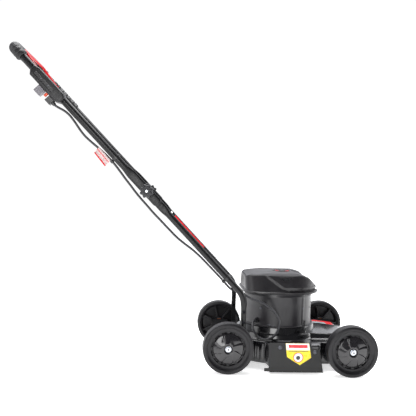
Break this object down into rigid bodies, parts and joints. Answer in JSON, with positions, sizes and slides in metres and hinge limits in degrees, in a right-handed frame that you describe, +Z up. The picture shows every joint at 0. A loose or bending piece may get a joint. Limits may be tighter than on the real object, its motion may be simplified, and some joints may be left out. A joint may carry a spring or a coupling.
{
  "type": "walk-behind mower",
  "caption": "Corded electric rotary walk-behind mower with a stamped deck, moulded wheels, a folding tube handle and a bail switch.",
  "frame": {"origin": "on the ground, straight below the motor shaft", "axes": "+X forward, +Y to the mower's left, +Z up"},
  "size_m": [1.1107, 0.447, 0.9673],
  "materials": {
    "black_deck_paint": "gloss black enamel on pressed steel",
    "black_tube_paint": "satin black powder coat",
    "zinc_steel": "bright zinc plate",
    "safety_label": "printed vinyl, plain bands of colour",
    "red_stripe": "printed vinyl",
    "black_plastic": "fine moulded texture",
    "cover_plastic": "satin moulded polypropylene",
    "cable_sheath": "smooth PVC sheath",
    "cast_alloy": "as cast",
    "motor_steel": "laminated and turned steel",
    "blade_steel": "ground spring steel",
    "wheel_plastic": "moulded polyethylene",
    "hubcap_plastic": "glossy moulded plastic",
    "grey_plastic": "moulded",
    "soft_grip": "ribbed soft sleeve",
    "brass": "plain",
    "tag_paper": "coated paper",
    "red_plastic": "moulded",
    "red_paint": "gloss red powder coat"
  },
  "bodies": {
    "chassis": {"deck": "black_deck_paint", "side_plate": "black_deck_paint", "plate_bolts": "zinc_steel", "plate_label": "safety_label", "front_stripe": "red_stripe", "bracket_front_right": "black_tube_paint", "bracket_front_left": "black_tube_paint", "bracket_rear_right": "black_tube_paint", "bracket_rear_left": "black_tube_paint", "wheel_bolts": "zinc_steel", "handle_bracket_right": "black_tube_paint", "handle_bracket_left": "black_tube_paint", "foot_bolts": "black_tube_paint", "lower_tube_right": "black_tube_paint", "lower_tube_left": "black_tube_paint", "pivot_bolts": "zinc_steel", "lower_clip": "black_plastic", "cable_lower": "cable_sheath", "gland": "black_plastic", "motor_shell": "black_tube_paint", "motor_cover": "cover_plastic", "top_vent": "black_plastic", "motor_screws": "zinc_steel", "lower_bell": "cast_alloy", "upper_bell": "cast_alloy", "stator": "motor_steel", "bearings": "zinc_steel", "capacitor": "motor_steel"},
    "blade_drive": {"rotor": "motor_steel", "fan": "black_plastic", "blade_boss": "motor_steel", "blade": "blade_steel", "blade_bolt": "zinc_steel"},
    "front_right_wheel": {"wheel_front_right": "wheel_plastic", "hubcap_front_right": "hubcap_plastic"},
    "front_left_wheel": {"wheel_front_left": "wheel_plastic", "hubcap_front_left": "hubcap_plastic"},
    "rear_right_wheel": {"wheel_rear_right": "wheel_plastic", "hubcap_rear_right": "hubcap_plastic"},
    "rear_left_wheel": {"wheel_rear_left": "wheel_plastic", "hubcap_rear_left": "hubcap_plastic"},
    "right_knob": {"knob_right": "grey_plastic"},
    "left_knob": {"knob_left": "grey_plastic"},
    "handle": {"upper_handle": "black_tube_paint", "crossbar_grip": "soft_grip", "left_leg_grip": "soft_grip", "switch_box_outer": "black_plastic", "switch_box_inner": "black_plastic", "box_screws": "zinc_steel", "microswitch": "black_plastic", "inlet_shroud": "grey_plastic", "inlet_pins": "brass", "cable_outlet": "black_plastic", "bail_bracket": "black_plastic", "upper_clip": "black_plastic", "cable_upper": "cable_sheath", "cable_bend": "cable_sheath", "cable_tag": "tag_paper"},
    "button": {"lock_button": "red_plastic"},
    "bail": {"bail_lever": "red_paint"}
  },
  "joints": [
    {"name": "blade_spin", "type": "hinge", "parent": "chassis", "child": "blade_drive", "pos_m": [0, 0, 0.1], "axis": [0, 0, 1], "continuous": true},
    {"name": "front_right_wheel_spin", "type": "hinge", "parent": "chassis", "child": "front_right_wheel", "pos_m": [0.191, -0.201, 0.076], "axis": [0, 1, 0], "continuous": true},
    {"name": "front_left_wheel_spin", "type": "hinge", "parent": "chassis", "child": "front_left_wheel", "pos_m": [0.191, 0.201, 0.076], "axis": [0, 1, 0], "continuous": true},
    {"name": "rear_right_wheel_spin", "type": "hinge", "parent": "chassis", "child": "rear_right_wheel", "pos_m": [-0.176, -0.178, 0.076], "axis": [0, 1, 0], "continuous": true},
    {"name": "rear_left_wheel_spin", "type": "hinge", "parent": "chassis", "child": "rear_left_wheel", "pos_m": [-0.176, 0.178, 0.076], "axis": [0, 1, 0], "continuous": true},
    {"name": "handle_fold", "type": "hinge", "parent": "chassis", "child": "handle", "pos_m": [-0.427, 0, 0.535], "axis": [0, 1, 0], "range_deg": [0, 148], "deforming": ["cable_bend"]},
    {"name": "right_knob_turn", "type": "hinge", "parent": "chassis", "child": "right_knob", "pos_m": [-0.427, -0.17, 0.535], "axis": [0, 1, 0], "range_deg": [0, 360]},
    {"name": "left_knob_turn", "type": "hinge", "parent": "chassis", "child": "left_knob", "pos_m": [-0.427, 0.17, 0.535], "axis": [0, 1, 0], "range_deg": [0, 360]},
    {"name": "bail_squeeze", "type": "hinge", "parent": "handle", "child": "bail", "pos_m": [-0.75002, 0, 0.87643], "axis": [0, 1, 0], "range_deg": [-10, 0], "stiffness_Nm_per_rad": 2, "springref_deg": 8.59},
    {"name": "lock_button_press", "type": "slide", "parent": "handle", "child": "button", "axis": [0.7206, 0, 0.6934], "range_m": [0, 0.003], "stiffness_N_per_m": 600, "springref_m": -0.003}
  ]
}
